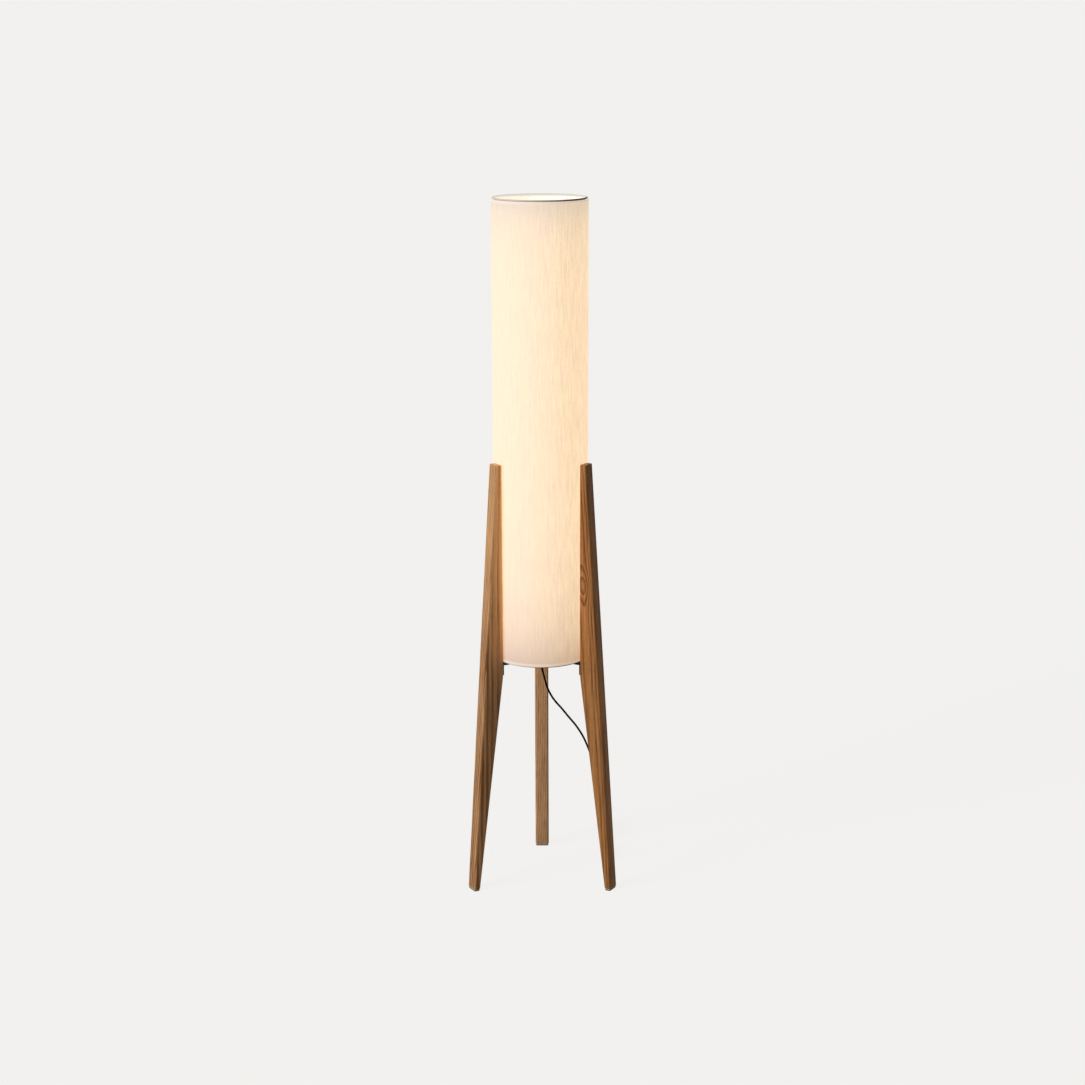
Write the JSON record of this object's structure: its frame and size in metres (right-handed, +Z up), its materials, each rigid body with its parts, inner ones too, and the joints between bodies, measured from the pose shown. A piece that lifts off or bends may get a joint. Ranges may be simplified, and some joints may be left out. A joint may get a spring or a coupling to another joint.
{
  "type": "column floor lamp",
  "caption": "Tall cylindrical cloth-shaded floor lamp held between tapered wooden legs, with an inner light column, mains cord, push switch and plug.",
  "frame": {"origin": "on the floor, at the centre of the footprint's box measured without the cord; the lamp's own upright axis is at x = 0, y = -0.0380", "axes": "+Z up; -Y towards the viewer of the picture; +X to the viewer's right; the single leg stands at +Y"},
  "size_m": [0.3246, 0.5195, 1.48],
  "materials": {
    "wood": "oiled walnut-brown ash, satin",
    "felt": "dense dark felt",
    "pad_backing": "pale plastic",
    "brass": "turned brass",
    "black_steel": "black powder coat",
    "ring_wire": "dark bronze lacquer",
    "shade_cloth": "off-white slub linen, lit from inside",
    "shade_liner": "white translucent film",
    "hem_cloth": "off-white linen tape",
    "foam": "thin felt pad",
    "white_steel": "white powder coat",
    "zinc_screw": "zinc-plated",
    "circuit_board": "green solder mask",
    "components": "dark moulded",
    "white_plastic": "white moulded",
    "mains_wire": "brown insulation",
    "led_wire": "red insulation",
    "cast_aluminium": "machined",
    "aluminium": "extruded, natural",
    "led_strip": "white strip with warm light chips",
    "grey_plastic": "moulded",
    "opal": "opal acrylic",
    "black_plastic": "fine-textured moulding",
    "black_button": "satin moulding",
    "black_rubber": "soft",
    "cord": "smooth round sheath",
    "tie": "hook-and-loop strap",
    "spring_steel": "bright wire",
    "nickel": "nickel-plated"
  },
  "bodies": {
    "lamp": {"leg_left": "wood", "leg_right": "wood", "leg_rear": "wood", "pad_left": "felt", "pad_right": "felt", "pad_rear": "felt", "pad_backings": "pad_backing", "leg_inserts": "brass", "leg_screws": "black_steel", "base_frame": "black_steel", "bottom_ring": "ring_wire", "top_ring": "ring_wire", "shade_cloth": "shade_cloth", "shade_liner": "shade_liner", "shade_seam": "hem_cloth", "bottom_hem": "hem_cloth", "top_hem": "hem_cloth", "shade_pads": "foam", "driver_can": "white_steel", "can_screws": "zinc_screw", "driver_board": "circuit_board", "board_standoffs": "brass", "board_screws": "zinc_screw", "driver_parts": "components", "terminal_block": "white_plastic", "mains_leads": "mains_wire", "led_leads": "led_wire", "column_flange": "cast_aluminium", "flange_screws": "zinc_screw", "column_profile": "aluminium", "led_strips": "led_strip", "column_plug": "grey_plastic", "tube_cap": "cast_aluminium", "cap_screw": "zinc_screw", "diffuser_tube": "opal", "cord_gland": "black_plastic", "gland_nut": "black_plastic", "cord_drop": "cord", "cord_link": "cord", "cord_hank": "cord", "cord_tail": "cord", "cord_tie": "tie", "switch_base": "black_plastic", "switch_cover": "black_plastic", "switch_boots": "black_rubber", "switch_spring": "spring_steel", "switch_contacts": "brass", "switch_screws": "zinc_screw", "switch_leads": "mains_wire", "plug_body": "black_plastic", "plug_boot": "black_rubber", "plug_pins": "nickel", "plug_sleeves": "black_plastic"},
    "button": {"switch_button": "black_button"}
  },
  "joints": [
    {"name": "switch_button_push", "type": "slide", "parent": "lamp", "child": "button", "axis": [0, 0, -1], "range_m": [0, 0.0025], "stiffness_N_per_m": 300, "springref_m": -0.003, "deforming": ["switch_spring"]}
  ]
}
